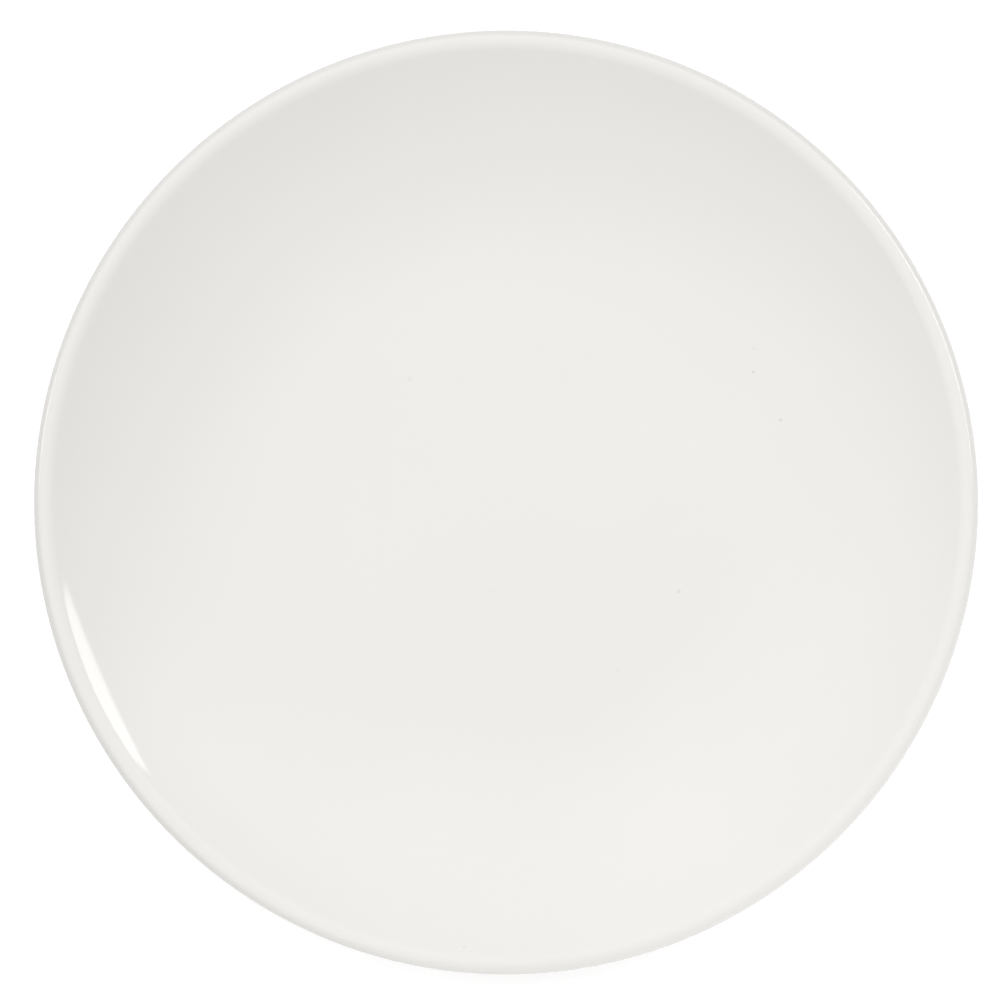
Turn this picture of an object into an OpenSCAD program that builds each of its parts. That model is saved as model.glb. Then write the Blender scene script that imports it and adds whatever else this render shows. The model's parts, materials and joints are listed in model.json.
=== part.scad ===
// Coupe dinner plate: a porcelain body with a fired glaze over everything but the foot.
// Each piece is one turned section. The table is at z = 0 and the axis of the plate is Z.

/* [Plate] */
// Diameter over the rim
plate_d = 270; // [240:1:300]
// Height from the table to the top of the lip
plate_h = 25; // [21:0.5:32]
// Diameter of the flat well in the middle of the eating face
well_d = 124; // [90:1:150]

/* [Walls] */
// Thickness of the floor inside the foot ring
floor_t = 5.4; // [4:0.1:8]
// Thickness of the wall where it leaves the well
wall_t = 5; // [4.2:0.1:6]

/* [Lip] */
// Radius of the soft roll from the wall up to the top of the lip
lip_roll_r = 7.4; // [4:0.2:20]
// Radius of the outer edge of the lip, from its top to where it is widest
lip_edge_r = 2.5; // [1.5:0.1:3.5]
// Radius of the outer edge of the lip, from where it is widest to the underside
lip_under_r = 2.2; // [1.2:0.1:3]

/* [Foot ring] */
// Diameter over the foot ring
foot_d = 158; // [130:1:180]
// Width of the foot ring
foot_w = 4.4; // [3:0.1:8]
// Depth of the recess inside the foot ring
recess_h = 2.8; // [2:0.1:4]
// Fillet between the outside of the ring and the underside of the wall
foot_fillet_r = 2.6; // [1:0.1:4]
// Fillet between the inside of the ring and the roof of the recess
recess_fillet_r = 1.4; // [0.5:0.1:2.5]
// Rounding on both edges of the land that stands on the table
land_edge_r = 0.7; // [0.3:0.1:0.9]

/* [Glaze] */
// Thickness of the fired glaze
glaze_t = 0.25; // [0.15:0.05:0.5]
// Height of the wiped, bare band at the bottom of the foot ring
bare_h = 1.1; // [1:0.1:1.5]
// Least height of the glazed upright above the bare band, on both sides of the ring
upright_h = 0.2; // [0.1:0.1:0.4]

/* [Hidden] */

// Largest gap between an arc and the chords that stand for it
chord_gap = 0.01;
// Facets of a preview turn
$fn = 180;

body_colour = [0.90, 0.87, 0.82];
glaze_colour = [0.94, 0.93, 0.91];

plate_r = plate_d / 2;
well_r = well_d / 2;
foot_r = foot_d / 2;
recess_r = foot_r - foot_w;
well_z = recess_h + floor_t;

// The eating face is three arcs that meet in tangents: a dish that climbs out of the well,
// a roll that levels out on top of the lip, and the upper half of the lip's edge. Run and
// rise are the way from the rim of the well to the top of the lip.
run = plate_r - lip_edge_r - well_r;
rise = plate_h - well_z;
wall_slope = 2 * atan(rise / run);
dish_r = run / sin(wall_slope) - lip_roll_r;
dish_c = [well_r, well_z + dish_r];
roll_c = [plate_r - lip_edge_r, plate_h - lip_roll_r];
edge_c = [plate_r - lip_edge_r, plate_h - lip_edge_r];

// The underside is one arc, level below the rim of the well and tangent to the lower half of
// the lip's edge, whose centre is reach out from that rim and climb above it
under_edge_c = [plate_r - lip_under_r, edge_c.y];
reach = under_edge_c.x - well_r;
climb = under_edge_c.y - well_z + wall_t;
under_r = (pow(reach, 2) + pow(climb, 2) - pow(lip_under_r, 2)) / (2 * (climb - lip_under_r));
under_c = [well_r, well_z - wall_t + under_r];
under_slope = atan2(reach, under_r - climb);

// The fillet outside the foot ring touches the upright ring and the underside arc, and the
// one inside touches the ring and the roof of the recess. Both leave the upright free.
upright_z = bare_h + upright_h;
foot_reach = foot_r - well_r;
foot_room = under_c.y - upright_z;
foot_fillet_room = (pow(foot_reach, 2) + pow(foot_room, 2) - pow(under_r, 2))
    / (2 * (under_r - foot_reach));
ring_fillet_r = min(foot_fillet_r, foot_fillet_room);
ring_fillet_slope = asin((foot_reach + ring_fillet_r) / (under_r + ring_fillet_r));
ring_fillet_c = [foot_r + ring_fillet_r,
    under_c.y - (under_r + ring_fillet_r) * cos(ring_fillet_slope)];
roof_fillet_r = min(recess_fillet_r, recess_h - upright_z);
roof_fillet_c = [recess_r - roof_fillet_r, recess_h - roof_fillet_r];

function arc_steps(radius, sweep) = max(2, ceil(abs(sweep) / (2 * acos(1 - chord_gap / radius))));

// Points of an arc from one angle to another. An arc that follows another one leaves out its
// first point, because the other one ends there.
function arc(centre, radius, from, to, follows = false) =
    let (steps = arc_steps(radius, to - from))
    [for (i = [follows ? 1 : 0:steps])
        let (angle = from + (to - from) * i / steps)
        centre + radius * [cos(angle), sin(angle)]];

function reversed(points) = [for (i = [len(points) - 1:-1:0]) points[i]];

// From the middle of the well, over the lip and down to the bare band outside the foot ring.
// The inset is how far below the glazed surface the curve lies.
function outer_curve(inset) = concat(
    [[0, well_z - inset]],
    arc(dish_c, dish_r + inset, -90, -90 + wall_slope),
    arc(roll_c, lip_roll_r - inset, 90 + wall_slope, 90, follows = true),
    arc(edge_c, lip_edge_r - inset, 90, 0, follows = true),
    arc(under_edge_c, lip_under_r - inset, 0, -90 + under_slope, follows = true),
    arc(under_c, under_r - inset, -90 + under_slope, -90 + ring_fillet_slope, follows = true),
    arc(ring_fillet_c, ring_fillet_r + inset, 90 + ring_fillet_slope, 180, follows = true),
    [[foot_r - inset, bare_h]]);

// From the bare band inside the foot ring, up and along the roof of the recess to the axis
function recess_curve(inset) = concat(
    [[recess_r + inset, bare_h]],
    arc(roof_fillet_c, roof_fillet_r + inset, 0, 90),
    [[0, recess_h + inset]]);

// The bare bottom of the foot ring: two rounded edges with the flat land between them
function land_curve(inset) = concat(
    arc([foot_r - inset - land_edge_r, land_edge_r], land_edge_r, 0, -90),
    arc([recess_r + inset + land_edge_r, land_edge_r], land_edge_r, -90, -180));

// Turns a closed outline of radius and height about the axis
module turned(outline) {
    rotate_extrude() polygon(outline);
}

// A fired film between a glazed surface and the body below it
module film(surface, bed) {
    turned(concat(surface, reversed(bed)));
}

// The biscuit: floor, wall, lip and foot ring in one piece of clay
module porcelain_body() {
    color(body_colour)
        turned(concat(outer_curve(glaze_t), land_curve(glaze_t), recess_curve(glaze_t)));
}

// Glaze over the eating face, the lip and the underside, down to the bare band
module glaze_coat() {
    color(glaze_colour) film(outer_curve(0), outer_curve(glaze_t));
}

// Glaze in the recess, cut off from the coat by the bare land of the foot ring
module recess_glaze() {
    color(glaze_colour) film(recess_curve(0), recess_curve(glaze_t));
}

porcelain_body();
glaze_coat();
recess_glaze();
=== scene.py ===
# %% [markdown]
# # A white coupe dinner plate
# A coupe plate has no separate rim. Its flat well runs into a wall that curves up to a rounded
# lip, and it stands on a foot ring that only shows from below. The real one is shaped on a
# wheel, so this lesson turns it too: draw half of the section once, spin it round the axis, and
# then spend the effort on the glaze and the light, because they are all that the eye has to go
# on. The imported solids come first. They fix where the plate is and how big it is.

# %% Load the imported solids
import json
import math

import bpy
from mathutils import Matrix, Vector
from mathutils.bvhtree import BVHTree


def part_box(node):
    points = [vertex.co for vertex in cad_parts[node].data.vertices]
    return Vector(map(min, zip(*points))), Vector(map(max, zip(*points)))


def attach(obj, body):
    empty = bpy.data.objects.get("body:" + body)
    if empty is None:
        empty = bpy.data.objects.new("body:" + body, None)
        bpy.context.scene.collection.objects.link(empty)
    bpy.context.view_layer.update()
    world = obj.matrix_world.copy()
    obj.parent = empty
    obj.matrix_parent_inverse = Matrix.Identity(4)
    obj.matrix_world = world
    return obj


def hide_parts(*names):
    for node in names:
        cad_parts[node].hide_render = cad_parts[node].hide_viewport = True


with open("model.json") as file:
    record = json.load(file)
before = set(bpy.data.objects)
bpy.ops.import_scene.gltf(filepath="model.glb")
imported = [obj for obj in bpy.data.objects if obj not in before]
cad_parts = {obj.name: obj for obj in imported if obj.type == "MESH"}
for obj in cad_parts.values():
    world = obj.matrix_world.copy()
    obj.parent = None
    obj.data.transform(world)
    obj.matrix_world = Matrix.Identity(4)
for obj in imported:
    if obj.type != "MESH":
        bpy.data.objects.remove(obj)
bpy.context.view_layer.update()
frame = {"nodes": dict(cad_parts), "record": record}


print("solids:", ", ".join(sorted(frame["nodes"])))

# %% [markdown]
# ## Sizes
# Most sizes can be read off the solids: the coat of glaze gives the rim, the lip and the bare
# band at the foot, and the two places where the plate meets other things give the well and the
# foot ring. Only the radii inside the section have to be written down again, in millimetres.

# %% Sizes of the plate
MM = 0.001
coat_low, coat_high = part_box("glaze_coat")
_, body_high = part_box("porcelain_body")
_, recess_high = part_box("recess_glaze")
rests = {mount["name"]: Vector(mount["pos_m"]) for mount in frame["record"]["mounts"]}

rim_radius = coat_high.x
lip_height = coat_high.z
bare_height = coat_low.z
glaze_thickness = rim_radius - body_high.x
well_height = rests["well_floor"].z
recess_height = recess_high.z - glaze_thickness
recess_radius = recess_high.x - glaze_thickness
foot_radius = 2 * rests["foot_land"].x - recess_radius

well_radius = 62 * MM
wall_thickness = 5 * MM
lip_roll = 7.4 * MM
lip_edge = 2.5 * MM
lip_under = 2.2 * MM
foot_fillet = 2.6 * MM
recess_fillet = 1.4 * MM
land_rounding = 0.7 * MM
print(f"rim {2000 * rim_radius:.1f} mm, height {1000 * lip_height:.1f} mm, "
      f"foot ring {2000 * foot_radius:.1f} mm, glaze {1000 * glaze_thickness:.2f} mm")

# %% [markdown]
# ## The section
# The eating face is three arcs that meet in tangents: the dish, the roll of the lip and the
# lip's edge. The underside is one long arc. Because the arcs touch, their radii and centres
# follow from a few lengths, and no point has to be drawn by hand. A curve object with bezier
# handles could do this as well, but a formula can also be moved inwards by the thickness of the
# glaze, which gives the surface of the clay below it.

# %% Arcs of the eating face
run = rim_radius - lip_edge - well_radius
rise = lip_height - well_height
wall_slope = 2 * math.atan(rise / run)
dish_radius = run / math.sin(wall_slope) - lip_roll
dish_centre = (well_radius, well_height + dish_radius)
roll_centre = (rim_radius - lip_edge, lip_height - lip_roll)
edge_centre = (rim_radius - lip_edge, lip_height - lip_edge)
print(f"steepest wall {math.degrees(wall_slope):.1f} degrees, dish radius {1000 * dish_radius:.1f} mm")

# %% Arcs of the underside
under_edge_centre = (rim_radius - lip_under, lip_height - lip_edge)
reach = under_edge_centre[0] - well_radius
climb = under_edge_centre[1] - well_height + wall_thickness
under_radius = (reach ** 2 + climb ** 2 - lip_under ** 2) / (2 * (climb - lip_under))
under_centre = (well_radius, well_height - wall_thickness + under_radius)
under_slope = math.atan2(reach, under_radius - climb)

ring_reach = foot_radius + foot_fillet - well_radius
ring_slope = math.asin(ring_reach / (under_radius + foot_fillet))
ring_centre = (foot_radius + foot_fillet,
               under_centre[1] - (under_radius + foot_fillet) * math.cos(ring_slope))
roof_centre = (recess_radius - recess_fillet, recess_height - recess_fillet)
print(f"underside radius {1000 * under_radius:.1f} mm")

# %% Points along arcs and lines
DOWN = -math.pi / 2
UP = math.pi / 2
FEWEST_STEPS = 3


def arc(centre, radius, start, end, gap):
    """Points after the first one, close enough that chords stay within gap of the arc."""
    steps = max(FEWEST_STEPS, math.ceil(abs(end - start) / (2 * math.acos(1 - gap / radius))))
    angles = [start + (end - start) * step / steps for step in range(1, steps + 1)]
    return [(centre[0] + radius * math.cos(a), centre[1] + radius * math.sin(a)) for a in angles]


def line(start, end, spacing):
    """Points from start to end, start left out, no further apart than spacing."""
    steps = max(1, math.ceil(math.dist(start, end) / spacing))
    shares = [step / steps for step in range(1, steps + 1)]
    return [(start[0] + (end[0] - start[0]) * s, start[1] + (end[1] - start[1]) * s) for s in shares]


def outer_curve(inset, gap, spacing):
    """From the axis, out over the lip and back under to the upright of the foot ring."""
    level = well_height - inset
    points = [(0, level)]
    points += line((0, level), (well_radius, level), spacing)
    points += arc(dish_centre, dish_radius + inset, DOWN, DOWN + wall_slope, gap)
    points += arc(roll_centre, lip_roll - inset, UP + wall_slope, UP, gap)
    points += arc(edge_centre, lip_edge - inset, UP, 0, gap)
    points += arc(under_edge_centre, lip_under - inset, 0, DOWN + under_slope, gap)
    points += arc(under_centre, under_radius - inset, DOWN + under_slope, DOWN + ring_slope, gap)
    points += arc(ring_centre, foot_fillet + inset, UP + ring_slope, math.pi, gap)
    return points


def roof_curve(inset, gap, spacing):
    """From the axis, out along the roof of the recess and down to the upright of the ring."""
    level = recess_height + inset
    points = [(0, level)]
    points += line((0, level), (recess_radius - recess_fillet, level), spacing)
    points += arc(roof_centre, recess_fillet + inset, UP, 0, gap)
    return points


# %% [markdown]
# ## Three half sections
# The clay goes once round: roof of the recess, land of the foot, underside, lip and face. A film
# of glaze runs out along its bed on the clay and back along its surface. Before firing, the foot
# is wiped clean with a sponge, so the melt ends there in a small round bead, and a second film
# is left inside the ring. All three are drawn anticlockwise, so their faces will point outwards.

# %% Curves of clay and glaze
FACE_GAP = 0.0015 * MM
BED_GAP = 0.02 * MM
BEAD_GAP = FACE_GAP / 3
FACE_SPACING = 4 * MM
BED_SPACING = 20 * MM

clay_outside = outer_curve(glaze_thickness, BED_GAP, BED_SPACING)
clay_roof = roof_curve(glaze_thickness, BED_GAP, BED_SPACING)
glaze_outside = outer_curve(0, FACE_GAP, FACE_SPACING)
glaze_roof = roof_curve(0, FACE_GAP, FACE_SPACING)
print(f"eating face and underside: {len(glaze_outside)} points, roof: {len(glaze_roof)} points")

# %% Land of the foot and beads of glaze
LAND_SPACING = 0.5 * MM

clay_out = foot_radius - glaze_thickness
clay_in = recess_radius + glaze_thickness
bead_height = bare_height + glaze_thickness
land_inner = (clay_in + land_rounding, land_rounding)
land_outer = (clay_out - land_rounding, land_rounding)
land = [(clay_in, bead_height), (clay_in, bare_height), (clay_in, land_rounding)]
land += arc(land_inner, land_rounding, math.pi, math.pi - DOWN, FACE_GAP)
land += line((land_inner[0], 0), (land_outer[0], 0), LAND_SPACING)
land += arc(land_outer, land_rounding, DOWN, 0, FACE_GAP)
land += [(clay_out, bare_height), (clay_out, bead_height)]

outer_bead = arc((clay_out, bead_height), glaze_thickness, DOWN, 0, BEAD_GAP)
inner_bead = arc((clay_in, bead_height), glaze_thickness, math.pi, math.pi - DOWN, BEAD_GAP)
print(f"land: {len(land)} points, each bead: {len(outer_bead)} points")

# %% Closed half sections
clay_section = clay_roof + land + clay_outside[::-1]
coat_section = clay_outside + [(clay_out, bare_height)] + outer_bead + glaze_outside[::-1]
recess_section = glaze_roof + [(recess_radius, bead_height)] + inner_bead + clay_roof[::-1]
for name, section in (("clay", clay_section), ("coat", coat_section), ("recess", recess_section)):
    print(f"{name} section: {len(section)} points")

# %% [markdown]
# ## The wheel
# The Screw modifier or the Spin operator could turn a section. Geometry Nodes do it here, because
# the same tree then also gives the small faults of a hand-finished plate. A grid is laid out with
# one column per step of the turn and one row per point of the section. Each grid point looks up
# its row in the section, is swung round by its column's angle, and the seam and both poles are
# merged. After that the surface sinks a few hundredths of a millimetre in slow waves, as fired
# ware does, and the end of the glaze wanders up and down where the sponge passed.

# %% Node helpers
def add(tree, kind, inputs=None, **settings):
    """Adds a node, sets its properties, and links or fills its inputs by name or number."""
    node = tree.nodes.new(kind)
    for name, value in settings.items():
        setattr(node, name, value)
    for key, value in (inputs or {}).items():
        socket = node.inputs[key]
        if isinstance(value, bpy.types.NodeSocket):
            tree.links.new(value, socket)
        else:
            socket.default_value = value
    return node


def calc(tree, operation, *values):
    """The result of a Math node, from numbers or other nodes' outputs."""
    return add(tree, "ShaderNodeMath", dict(enumerate(values)), operation=operation).outputs[0]


# %% Inputs of the wheel
WELD = 0.0005 * MM
PLATE_STEPS = 288
WHEEL_SIZES = (
    ("Turn steps", "NodeSocketInt", PLATE_STEPS),
    ("Wave depth", "NodeSocketFloat", 0.0),
    ("Wave length", "NodeSocketFloat", 45 * MM),
    ("Sponge wander", "NodeSocketFloat", 0.0),
    ("Sponge stroke", "NodeSocketFloat", 12 * MM),
    ("Seed", "NodeSocketFloat", 7.0),
    ("Finish", "NodeSocketMaterial", None),
)


def empty_wheel():
    tree = bpy.data.node_groups.new("potters_wheel", "GeometryNodeTree")
    tree.interface.new_socket("Half section", in_out="INPUT", socket_type="NodeSocketGeometry")
    for name, kind, value in WHEEL_SIZES:
        socket = tree.interface.new_socket(name, in_out="INPUT", socket_type=kind)
        if value is not None:
            socket.default_value = value
    tree.interface.new_socket("Piece", in_out="OUTPUT", socket_type="NodeSocketGeometry")
    return tree


# %% Turning a section
def position(tree):
    return tree.nodes.new("GeometryNodeInputPosition").outputs[0]


def glaze_end(tree):
    """1 on points at the end of the glaze, 0 elsewhere."""
    name = {"Name": "glaze_end"}
    return add(tree, "GeometryNodeInputNamedAttribute", name, data_type="FLOAT").outputs[0]


def turned_section(tree, given):
    """A grid that is bent round the axis along the section, with its seam and poles merged."""
    section = given["Half section"]
    counted = add(tree, "GeometryNodeAttributeDomainSize", {"Geometry": section})
    rows = counted.outputs["Point Count"]
    columns = calc(tree, "ADD", given["Turn steps"], 1.0)
    grid = add(tree, "GeometryNodeMeshGrid", {"Vertices X": columns, "Vertices Y": rows})
    index = tree.nodes.new("GeometryNodeInputIndex").outputs[0]
    column = calc(tree, "FLOOR", calc(tree, "DIVIDE", calc(tree, "ADD", index, 0.5), rows))
    row = calc(tree, "SUBTRACT", index, calc(tree, "MULTIPLY", column, rows))
    angle = calc(tree, "MULTIPLY", calc(tree, "DIVIDE", column, given["Turn steps"]), 2 * math.pi)

    def look_up(value, kind):
        wanted = {"Geometry": section, "Value": value, "Index": row}
        return add(tree, "GeometryNodeSampleIndex", wanted, data_type=kind).outputs[0]

    arm = {"Vector": look_up(position(tree), "FLOAT_VECTOR"), "Angle": angle}
    swing = add(tree, "ShaderNodeVectorRotate", arm, rotation_type="Z_AXIS").outputs[0]
    bent = add(tree, "GeometryNodeSetPosition", {"Geometry": grid.outputs["Mesh"], "Position": swing})
    mark = {"Geometry": bent.outputs[0], "Name": "glaze_end", "Value": look_up(glaze_end(tree), "FLOAT")}
    marked = add(tree, "GeometryNodeStoreNamedAttribute", mark, data_type="FLOAT", domain="POINT")
    seam = {"Geometry": marked.outputs[0], "Distance": WELD}
    return add(tree, "GeometryNodeMergeByDistance", seam).outputs[0]


# %% Small faults
def slow_noise(tree, size, seed):
    frequency = calc(tree, "DIVIDE", 1.0, size)
    look = {"Vector": position(tree), "W": seed, "Scale": frequency, "Detail": 1.0}
    return add(tree, "ShaderNodeTexNoise", look, noise_dimensions="4D").outputs[0]


def moved(tree, piece, offset):
    return add(tree, "GeometryNodeSetPosition", {"Geometry": piece, "Offset": offset}).outputs[0]


def sponged(tree, given, piece):
    """Lifts or drops the end of the glaze, by half the wander at most."""
    stroke = calc(tree, "SUBTRACT", slow_noise(tree, given["Sponge stroke"], given["Seed"]), 0.5)
    wander = calc(tree, "MULTIPLY", given["Sponge wander"], glaze_end(tree))
    lift = calc(tree, "MULTIPLY", stroke, wander)
    return moved(tree, piece, add(tree, "ShaderNodeCombineXYZ", {"Z": lift}).outputs[0])


def waved(tree, given, piece):
    """Sinks the surface along its normal, by the wave depth at most."""
    inwards = calc(tree, "MULTIPLY", given["Wave depth"], -1.0)
    depth = calc(tree, "MULTIPLY", slow_noise(tree, given["Wave length"], given["Seed"]), inwards)
    normal = tree.nodes.new("GeometryNodeInputNormal").outputs[0]
    sink = add(tree, "ShaderNodeVectorMath", {0: normal, "Scale": depth}, operation="SCALE")
    return moved(tree, piece, sink.outputs[0])


# %% The wheel as a node tree
def potters_wheel():
    tree = empty_wheel()
    given = tree.nodes.new("NodeGroupInput").outputs
    piece = turned_section(tree, given)
    piece = sponged(tree, given, piece)
    piece = waved(tree, given, piece)
    smooth = add(tree, "GeometryNodeSetShadeSmooth", {"Geometry": piece})
    real = add(tree, "GeometryNodeRealizeInstances", {"Geometry": smooth.outputs[0]})
    dress = {"Geometry": real.outputs[0], "Material": given["Finish"]}
    finished = add(tree, "GeometryNodeSetMaterial", dress)
    add(tree, "NodeGroupOutput", {0: finished.outputs[0]})
    return tree


wheel = potters_wheel()
wheel_inputs = [item for item in wheel.interface.items_tree if item.in_out == "INPUT"]
print("wheel inputs:", [item.name for item in wheel_inputs])

# %% [markdown]
# ## Finishes
# Bare porcelain and glaze share three effects, so each is a node group of its own: a slow drift
# in tone, the fine grain of the surface, and the rare dark specks of iron that burn through in
# the kiln. They read Object coordinates, which are metres on the plate, so a size in a group is
# a real size.

# %% Helpers for shader trees
def ramp(tree, value, start=0.0, end=1.0, low=0.0, high=1.0, curve="LINEAR"):
    """Low where the value is start, high where it is end, and a ramp between them."""
    limits = {0: value, 1: start, 2: end, 3: low, 4: high}
    return add(tree, "ShaderNodeMapRange", limits, interpolation_type=curve).outputs[0]


def effect(name, sizes, result):
    """An empty shader group with a place, named sizes and one result."""
    group = bpy.data.node_groups.new(name, "ShaderNodeTree")
    group.interface.new_socket("Place", in_out="INPUT", socket_type="NodeSocketVector")
    for size in sizes:
        group.interface.new_socket(size, in_out="INPUT", socket_type="NodeSocketFloat")
    group.interface.new_socket(result, in_out="OUTPUT", socket_type="NodeSocketFloat")
    return group, group.nodes.new("NodeGroupInput").outputs


# %% Shared effects
DRIFT_DETAIL = 3.0
DRIFT_RANGE = (0.3, 0.7)
SPECK_CORE = 0.4


def tone_drift():
    group, given = effect("tone_drift", ("Size",), "Drift")
    frequency = calc(group, "DIVIDE", 1.0, given["Size"])
    look = {"Vector": given["Place"], "Scale": frequency, "Detail": DRIFT_DETAIL}
    noise = add(group, "ShaderNodeTexNoise", look).outputs[0]
    drift = ramp(group, noise, *DRIFT_RANGE, curve="SMOOTHSTEP")
    add(group, "NodeGroupOutput", {0: drift})
    return group


def fine_grain():
    group, given = effect("fine_grain", ("Size", "Detail"), "Height")
    frequency = calc(group, "DIVIDE", 1.0, given["Size"])
    look = {"Vector": given["Place"], "Scale": frequency, "Detail": given["Detail"]}
    noise = add(group, "ShaderNodeTexNoise", look).outputs[0]
    add(group, "NodeGroupOutput", {0: noise})
    return group


def kiln_specks():
    group, given = effect("kiln_specks", ("Spacing", "Size"), "Mask")
    frequency = calc(group, "DIVIDE", 1.0, given["Spacing"])
    cells = add(group, "ShaderNodeTexVoronoi", {"Vector": given["Place"], "Scale": frequency})
    outside = calc(group, "DIVIDE", given["Size"], given["Spacing"])
    core = calc(group, "MULTIPLY", outside, SPECK_CORE)
    mask = ramp(group, cells.outputs["Distance"], outside, core, curve="SMOOTHSTEP")
    add(group, "NodeGroupOutput", {0: mask})
    return group


drift_group = tone_drift()
grain_group = fine_grain()
speck_group = kiln_specks()
print("shared effects:", drift_group.name, grain_group.name, speck_group.name)

# %% [markdown]
# ## Glaze
# The glaze is clear glass over white clay, so its colour is a warm white and all its character
# is in the gloss. Two whites drift into each other over some centimetres, where the melt lies
# thicker or thinner. The photographed plate has a handful of pin marks, small faint pits in the
# eating face, so each has a place, a radius in millimetres and a strength of its own, besides the
# scattered specks. Over the edge of the lip the colour turns a little darker. Part of this is the
# melt running off and staying thin, and part is painted shade that darkens the rim's outer edge.
# A faint orange peel, a thousandth of a millimetre deep, keeps reflections from being perfectly
# straight.

# %% Helpers for materials
def new_material(name):
    material = bpy.data.materials.new(name)
    material.use_nodes = True
    tree = material.node_tree
    return material, tree, tree.nodes["Principled BSDF"]


def object_place(tree):
    return tree.nodes.new("ShaderNodeTexCoord").outputs["Object"]


def use(tree, group, place, **sizes):
    """The result of a shared effect, with its sizes set."""
    node = add(tree, "ShaderNodeGroup", node_tree=group)
    tree.links.new(place, node.inputs["Place"])
    for name, value in sizes.items():
        node.inputs[name.capitalize()].default_value = value
    return node.outputs[0]


def mix_colour(tree, share, first, second):
    colours = {0: share, 6: first, 7: second}
    return add(tree, "ShaderNodeMix", colours, data_type="RGBA").outputs[2]


def bumped(tree, height, depth, shader):
    bump = add(tree, "ShaderNodeBump", {"Height": height, "Distance": depth, "Strength": 1.0})
    tree.links.new(bump.outputs[0], shader.inputs["Normal"])


# %% Pin marks of the eating face
# Place across and up the picture from the middle in mm, radius in mm, strength
PIN_MARKS = ((71.4, 37.6, 0.68, 0.36), (49.9, -25.7, 0.80, 0.30), (79.2, 23.8, 0.82, 0.27),
             (-27.9, 35.6, 1.10, 0.12), (71.5, 44.4, 0.75, 0.16), (-3.5, -25.8, 0.56, 0.14),
             (-12.0, -127.0, 0.58, 0.23), (32.1, -48.4, 0.72, 0.10))
MARK_CORE = 0.2


def face_height(radius):
    """Height of the eating face between the axis and the steepest wall."""
    out = max(0, radius - well_radius)
    return well_height + dish_radius - math.sqrt(dish_radius ** 2 - out ** 2)


def pin_marks(tree, place):
    """How strong a mark shows: 0 outside, its own strength in the middle."""
    marks = 0.0
    for x, y, size, strength in PIN_MARKS:
        spot = Vector((x * MM, y * MM, face_height(math.hypot(x, y) * MM)))
        away = add(tree, "ShaderNodeVectorMath", {0: place, 1: spot}, operation="DISTANCE")
        mark = ramp(tree, away.outputs["Value"], size * MM, MARK_CORE * size * MM,
                    high=strength, curve="SMOOTHSTEP")
        marks = calc(tree, "MAXIMUM", marks, mark)
    return marks


print("pin marks:", len(PIN_MARKS))

# %% Thin glaze and painted shade on the lip
# Darker colour of the lip's outer edge: partly thinner glaze, partly painted shade.
LIP_SHADE_TONE = (0.785, 0.771, 0.744, 1)
LIP_BAND = 3 * MM


def thin_and_shaded_lip(tree, place):
    """0 inside the lip, 1 on its outer edge, where the melt stays thin and shade is painted in."""
    level = {0: place, 1: (1, 1, 0)}
    flat = add(tree, "ShaderNodeVectorMath", level, operation="MULTIPLY").outputs[0]
    radius = add(tree, "ShaderNodeVectorMath", {0: flat}, operation="LENGTH").outputs["Value"]
    return ramp(tree, radius, rim_radius - LIP_BAND, rim_radius, curve="SMOOTHSTEP")


# %% Glaze material
GLAZE_WHITE = (0.853, 0.837, 0.806, 1)
GLAZE_THICK = (0.841, 0.829, 0.800, 1)
GLAZE_ROUGHNESS = (0.03, 0.045)
GLAZE_IOR = 1.52
GLAZE_DRIFT = 55 * MM
SPECK_TONE = (0.50, 0.46, 0.41, 1)
GLAZE_SPECKS = {"spacing": 28 * MM, "size": 0.5 * MM}
GLAZE_SPECK_STRENGTH = 0.4
ORANGE_PEEL = {"size": 2.5 * MM, "detail": 1.0}
PEEL_DEPTH = 0.0012 * MM


def glaze_material():
    material, tree, glaze = new_material("white_glaze")
    place = object_place(tree)
    drift = use(tree, drift_group, place, size=GLAZE_DRIFT)
    scattered = use(tree, speck_group, place, **GLAZE_SPECKS)
    faint = calc(tree, "MULTIPLY", scattered, GLAZE_SPECK_STRENGTH)
    spots = calc(tree, "MAXIMUM", faint, pin_marks(tree, place))
    white = mix_colour(tree, drift, GLAZE_WHITE, GLAZE_THICK)
    # The darker lip edge is partly thin glaze and partly painted shade on the outer edge.
    toned_and_shaded = mix_colour(tree, thin_and_shaded_lip(tree, place), white, LIP_SHADE_TONE)
    tree.links.new(mix_colour(tree, spots, toned_and_shaded, SPECK_TONE), glaze.inputs["Base Color"])
    gloss = ramp(tree, drift, low=GLAZE_ROUGHNESS[0], high=GLAZE_ROUGHNESS[1])
    tree.links.new(gloss, glaze.inputs["Roughness"])
    glaze.inputs["IOR"].default_value = GLAZE_IOR
    bumped(tree, use(tree, grain_group, place, **ORANGE_PEEL), PEEL_DEPTH, glaze)
    return material


white_glaze = glaze_material()
print("glaze nodes:", len(white_glaze.node_tree.nodes))

# %% [markdown]
# ## Bare porcelain
# Only the foot is bare. Fired porcelain without glaze is matt and a little creamier. Its land is
# ground flat on a turning stone, which leaves fine rings, and tables and other plates rub some
# grey into it. The rings come from noise that is stretched along the radius: the distance from
# the axis counts hundreds of times more than the place along the ring, so there is no seam.

# %% Ground rings on the land
RINGS_PER_METRE = 9000.0
CHANGE_PER_METRE = 40.0
RING_DETAIL = 2.0
LAND_ENDS = 0.25 * MM
LAND_FULL = 0.05 * MM


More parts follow.
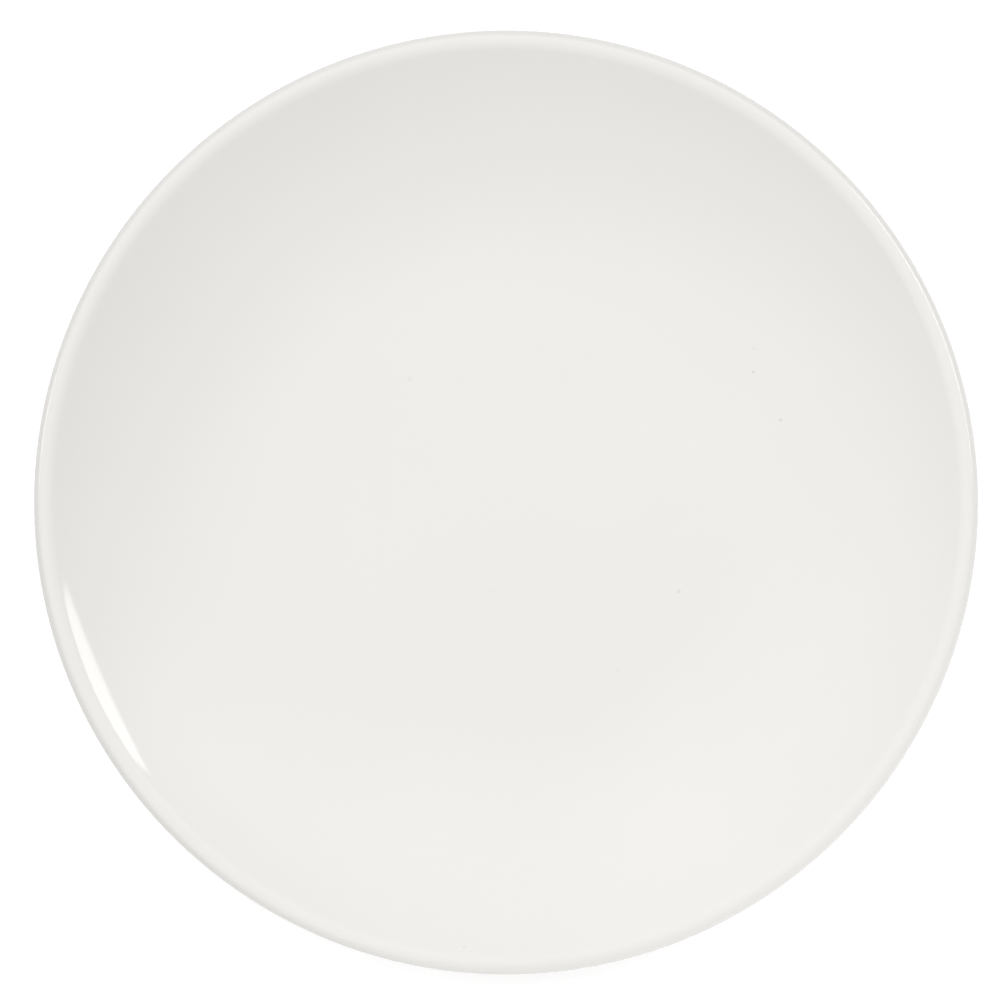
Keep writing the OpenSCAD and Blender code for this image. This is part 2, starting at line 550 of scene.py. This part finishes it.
def ground_rings(tree, place):
    """Noise in rings round the axis, and a mask that is 1 on the land of the foot."""
    parts = add(tree, "ShaderNodeSeparateXYZ", {0: place}).outputs
    flat = add(tree, "ShaderNodeCombineXYZ", {0: parts[0], 1: parts[1]}).outputs[0]
    radius = add(tree, "ShaderNodeVectorMath", {0: flat}, operation="LENGTH").outputs["Value"]
    ring = calc(tree, "MULTIPLY", radius, RINGS_PER_METRE)
    drawn = add(tree, "ShaderNodeCombineXYZ", {0: ring}).outputs[0]
    turning = {0: flat, "Scale": CHANGE_PER_METRE}
    along = add(tree, "ShaderNodeVectorMath", turning, operation="SCALE").outputs[0]
    track = add(tree, "ShaderNodeVectorMath", {0: drawn, 1: along}, operation="ADD").outputs[0]
    look = {"Vector": track, "Scale": 1.0, "Detail": RING_DETAIL}
    rings = add(tree, "ShaderNodeTexNoise", look).outputs[0]
    return rings, ramp(tree, parts[2], LAND_ENDS, LAND_FULL)


# %% Bare porcelain material
BISCUIT = (0.800, 0.772, 0.720, 1)
BISCUIT_PALE = (0.850, 0.828, 0.785, 1)
BISCUIT_DRIFT = 9 * MM
BISCUIT_SPECKS = {"spacing": 6 * MM, "size": 0.3 * MM}
BISCUIT_SPECK_STRENGTH = 0.5
RUB_GREY = (0.560, 0.545, 0.520, 1)
RUB_RANGE = (0.5, 0.75)
RUB_STRENGTH = 0.55
MATT_ROUGHNESS = 0.85
GROUND_ROUGHNESS = 0.6
CLAY_GRAIN = {"size": 0.25 * MM, "detail": 3.0}
GRAIN_DEPTH = 0.012 * MM


def biscuit_material():
    material, tree, clay = new_material("bare_porcelain")
    place = object_place(tree)
    rings, on_land = ground_rings(tree, place)
    drift = use(tree, drift_group, place, size=BISCUIT_DRIFT)
    specks = use(tree, speck_group, place, **BISCUIT_SPECKS)
    cream = mix_colour(tree, drift, BISCUIT, BISCUIT_PALE)
    rubbed = calc(tree, "MULTIPLY", ramp(tree, rings, *RUB_RANGE, high=RUB_STRENGTH), on_land)
    greyed = mix_colour(tree, rubbed, cream, RUB_GREY)
    faint = calc(tree, "MULTIPLY", specks, BISCUIT_SPECK_STRENGTH)
    tree.links.new(mix_colour(tree, faint, greyed, SPECK_TONE), clay.inputs["Base Color"])
    polish = ramp(tree, on_land, low=MATT_ROUGHNESS, high=GROUND_ROUGHNESS)
    tree.links.new(polish, clay.inputs["Roughness"])
    scored = calc(tree, "MULTIPLY", rings, on_land)
    grain = use(tree, grain_group, place, **CLAY_GRAIN)
    bumped(tree, calc(tree, "ADD", grain, scored), GRAIN_DEPTH, clay)
    return material


bare_porcelain = biscuit_material()
print("porcelain nodes:", len(bare_porcelain.node_tree.nodes))

# %% [markdown]
# ## Turning the pieces
# Each half section becomes a row of points with a mark on those that belong to the end of the
# glaze. The wheel is put on it as a modifier, its inputs are set through the sockets' own
# identifiers, and the evaluated result is kept as a plain mesh. Every piece then rides on the
# plate's only body and stands for its solid. To be sure that nothing has grown or moved, the
# furthest that any corner of the solid lies from the new surface is printed.

# %% From half section to piece
SHARP = math.radians(50)
wheel_sockets = {item.name: item.identifier for item in wheel_inputs}


def section_object(name, points, end_points):
    mesh = bpy.data.meshes.new(name)
    corners = [(radius, 0, height) for radius, height in points]
    mesh.from_pydata(corners, [(i, i + 1) for i in range(len(points) - 1)], [])
    mark = mesh.attributes.new("glaze_end", "FLOAT", "POINT")
    ends = set(end_points)
    mark.data.foreach_set("value", [1.0 if point in ends else 0.0 for point in points])
    section = bpy.data.objects.new(name, mesh)
    bpy.context.scene.collection.objects.link(section)
    return section


def turn(name, points, end_points, finish, **sizes):
    """A new object with the turned section as a plain mesh."""
    section = section_object(name + "_section", points, end_points)
    modifier = section.modifiers.new("wheel", "NODES")
    modifier.node_group = wheel
    for label, value in {"Finish": finish, **sizes}.items():
        modifier[wheel_sockets[label]] = value
    turned = section.evaluated_get(bpy.context.evaluated_depsgraph_get())
    mesh = bpy.data.meshes.new_from_object(turned)
    mesh.name = name
    mesh.attributes.remove(mesh.attributes["glaze_end"])
    mesh.set_sharp_from_angle(angle=SHARP)
    section.modifiers.remove(modifier)
    bpy.data.objects.remove(section)
    piece = bpy.data.objects.new(name, mesh)
    bpy.context.scene.collection.objects.link(piece)
    return piece


# %% From piece to solid
def furthest_from(piece, node):
    """Largest distance in mm from the solid's corners to the piece."""
    mesh = piece.data
    tree = BVHTree.FromPolygons([v.co for v in mesh.vertices], [p.vertices for p in mesh.polygons])
    return 1000 * max(tree.find_nearest(v.co)[3] for v in frame["nodes"][node].data.vertices)


def stand_for(piece, node):
    piece.data.calc_loop_triangles()
    gap = furthest_from(piece, node)
    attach(piece, "root")
    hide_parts(node)
    print(f"{piece.name}: {len(piece.data.loop_triangles)} triangles, within {gap:.3f} mm of {node}")


# %% The three pieces
CLAY_SIZES = {"Turn steps": PLATE_STEPS}
GLAZE_SIZES = {"Turn steps": PLATE_STEPS, "Wave depth": 0.02 * MM, "Sponge wander": 0.35 * MM}
coat_ends = outer_bead + [(clay_out, bare_height)]

plate_body = turn("plate_body", clay_section, [], bare_porcelain, **CLAY_SIZES)
face_glaze = turn("face_glaze", coat_section, coat_ends, white_glaze, **GLAZE_SIZES)
foot_glaze = turn("foot_glaze", recess_section, inner_bead, white_glaze, **GLAZE_SIZES)
stand_for(plate_body, "porcelain_body")
stand_for(face_glaze, "glaze_coat")
stand_for(foot_glaze, "recess_glaze")

# %% [markdown]
# ## Table and background
# The plate lies on white paper that curves up far behind it, so no view shows an edge or a
# horizon. A plane with a bent edge would do, but the wheel is at hand, and turned paper looks the
# same from every side. It has to look white next to white glaze, so its material adds a glow that
# only the camera and mirror-like rays can see. The glow lights nothing, and the soft shadow under
# the rim stays.

# %% White paper
PAPER_WHITE = (0.6, 0.6, 0.6, 1)
PAPER_GLOW = 0.6
PAPER_ROUGHNESS = 0.9


def seen_directly(tree):
    """1 for rays that show the background: from the camera, by reflection or through glass."""
    rays = tree.nodes.new("ShaderNodeLightPath").outputs
    first = calc(tree, "MAXIMUM", rays["Is Camera Ray"], rays["Is Glossy Ray"])
    return calc(tree, "MAXIMUM", first, rays["Is Transmission Ray"])


def paper_material():
    material, tree, paper = new_material("white_paper")
    paper.inputs["Base Color"].default_value = PAPER_WHITE
    paper.inputs["Roughness"].default_value = PAPER_ROUGHNESS
    paper.inputs["Specular IOR Level"].default_value = 0.0
    paper.inputs["Emission Color"].default_value = (1, 1, 1, 1)
    glow = calc(tree, "MULTIPLY", seen_directly(tree), PAPER_GLOW)
    tree.links.new(glow, paper.inputs["Emission Strength"])
    return material


# %% Table that curves up
TABLE_RADIUS = 7.0
COVE_RADIUS = 1.2
COVE_GAP = COVE_RADIUS / 1000
TABLE_SIZES = {"Turn steps": 96}

cove = arc((TABLE_RADIUS, COVE_RADIUS), COVE_RADIUS, 0, DOWN, COVE_GAP)
table_section = [(TABLE_RADIUS + COVE_RADIUS, COVE_RADIUS)] + cove + [(0, 0)]
table_top = turn("table_top", table_section, [], paper_material(), **TABLE_SIZES)
print("table radius in m:", TABLE_RADIUS, "height of the paper in m:", COVE_RADIUS)

# %% [markdown]
# ## Light
# The photo's shading is soft: the wall is brightest at the bottom of the picture and darkest at
# its upper left, with no edge anywhere. A picture of a room could light it, but a few soft lobes
# on a dim level are enough: a broad ceiling light that leans to the upper left, a low fill from
# the bottom of the picture and a narrow glow on the right. Each is brightest along one direction
# and fades with a power of the cosine. Two soft boxes add the sharper reflections: the right one
# makes the long highlight on the lower left wall and the glint on the right of the lip, and the
# left one makes the small glint there. They fade towards their edges, as cloth before a lamp does.

# %% Soft room light
ROOM_LEVEL = 0.33
# Bearing and tilt in degrees, power of the cosine, strength
ROOM_LOBES = ((121, 30, 3, 1.23), (270, 85, 3, 0.72), (38, 38, 25, 0.85))


def direction(bearing, tilt):
    """A unit vector. Bearing is in degrees from +X towards +Y, tilt from straight up."""
    turned = math.radians(bearing)
    tilted = math.radians(tilt)
    out = math.sin(tilted)
    return Vector((out * math.cos(turned), out * math.sin(turned), math.cos(tilted)))


def soft_room():
    world = bpy.data.worlds.new("soft_room")
    world.use_nodes = True
    tree = world.node_tree
    tree.nodes.clear()
    way = tree.nodes.new("ShaderNodeTexCoord").outputs["Generated"]
    level = ROOM_LEVEL
    for bearing, tilt, power, strength in ROOM_LOBES:
        towards = {0: way, 1: direction(bearing, tilt)}
        facing = add(tree, "ShaderNodeVectorMath", towards, operation="DOT_PRODUCT").outputs["Value"]
        lobe = calc(tree, "POWER", calc(tree, "MAXIMUM", facing, 0.0), power)
        level = calc(tree, "MULTIPLY_ADD", lobe, strength, level)
    white = {"Strength": level, "Color": (1, 1, 1, 1)}
    room = add(tree, "ShaderNodeBackground", white)
    add(tree, "ShaderNodeOutputWorld", {0: room.outputs[0]})
    bpy.context.scene.world = world


soft_room()
print("room lobes:", len(ROOM_LOBES))

# %% Soft boxes
BOX_AIM = Vector((0, 0, 0.133))
BOX_DISTANCE = 1.3
BOX_RADIANCE = 4.4


def fade_out(lamp, core):
    """Full light inside the core, a share of the lamp's half width, and none at its edge."""
    lamp.use_nodes = True
    tree = lamp.node_tree
    across = tree.nodes.new("ShaderNodeNewGeometry").outputs["Parametric"]
    middle = {0: across, 1: (0.5, 0.5, 0)}
    away = add(tree, "ShaderNodeVectorMath", middle, operation="DISTANCE").outputs["Value"]
    fade = ramp(tree, away, 0.5, 0.5 * core, curve="SMOOTHSTEP")
    tree.links.new(fade, tree.nodes["Emission"].inputs["Strength"])


def soft_box(name, bearing, tilt, width, height, core):
    """An elliptical lamp that faces a point above the plate."""
    lamp = bpy.data.lights.new(name, "AREA")
    lamp.shape = "ELLIPSE"
    lamp.size = width
    lamp.size_y = height
    lamp.energy = BOX_RADIANCE * math.pi * (math.pi * width * height / 4)
    fade_out(lamp, core)
    soft = bpy.data.objects.new(name, lamp)
    way = direction(bearing, tilt)
    soft.location = BOX_AIM + way * BOX_DISTANCE
    soft.rotation_euler = way.to_track_quat("Z", "Y").to_euler()
    bpy.context.scene.collection.objects.link(soft)
    return soft


right_box = soft_box("right_box", bearing=23.8, tilt=52.3, width=0.82, height=0.345, core=0.9)
left_box = soft_box("left_box", bearing=170, tilt=58, width=0.46, height=0.42, core=0.4)
print(f"soft boxes: {right_box.data.energy:.1f} W right, {left_box.data.energy:.1f} W left")

# %% [markdown]
# ## Light through the lip
# Thin porcelain lets some light through, so the outer edge of the lip isn't dark at the lower
# right, although it faces away from the ceiling light. Subsurface scattering would need one solid
# piece, and the glaze is a thin closed film here. A low strip of light stands in for it. The strip
# is below the height of the rim, so it only reaches the outside, and no reflection shows it.

# %% Low strip
STRIP_DISTANCE = 0.8
STRIP_WIDTH = 1.6
STRIP_HEIGHT = 0.016
STRIP_LEVEL = 0.012
STRIP_RADIANCE = 33
LEVEL_TILT = 90


def low_strip(bearing):
    """A strip of light below the height of the rim, which isn't seen in reflections."""
    lamp = bpy.data.lights.new("low_strip", "AREA")
    lamp.shape = "RECTANGLE"
    lamp.size = STRIP_WIDTH
    lamp.size_y = STRIP_HEIGHT
    lamp.energy = STRIP_RADIANCE * math.pi * STRIP_WIDTH * STRIP_HEIGHT
    strip = bpy.data.objects.new("low_strip", lamp)
    way = direction(bearing, LEVEL_TILT)
    strip.location = way * STRIP_DISTANCE + Vector((0, 0, STRIP_LEVEL))
    strip.rotation_euler = way.to_track_quat("Z", "Y").to_euler()
    strip.visible_glossy = False
    bpy.context.scene.collection.objects.link(strip)
    return strip


strip = low_strip(bearing=-60)
print(f"low strip: {strip.data.energy:.2f} W")

# %% [markdown]
# ## Camera
# The photo was taken from straight above with a long lens. The rim's radius in pixels sets the
# focal length for a camera a good metre up, and the plate sits a few pixels off the middle, so
# the camera stands that much to the side instead of using lens shift.

# %% Camera straight above
FRAME_PIXELS = 1000
RIM_PIXELS = 472.1
CENTRE_PIXEL = (505.6, 502.0)
CAMERA_HEIGHT = 1.4
SENSOR_WIDTH = 36


def overhead_camera():
    metres_per_pixel = rim_radius / RIM_PIXELS
    to_rim = CAMERA_HEIGHT - (lip_height - lip_edge)
    lens = bpy.data.cameras.new("overhead")
    lens.sensor_width = SENSOR_WIDTH
    lens.lens = SENSOR_WIDTH * to_rim / (FRAME_PIXELS * metres_per_pixel)
    camera = bpy.data.objects.new("overhead", lens)
    middle = (FRAME_PIXELS - 1) / 2
    camera.location = ((middle - CENTRE_PIXEL[0]) * metres_per_pixel,
                       (CENTRE_PIXEL[1] - middle) * metres_per_pixel, CAMERA_HEIGHT)
    bpy.context.scene.collection.objects.link(camera)
    bpy.context.scene.camera = camera
    return camera


overhead = overhead_camera()
bpy.context.scene.view_settings.view_transform = "Standard"
print(f"lens {overhead.data.lens:.1f} mm")
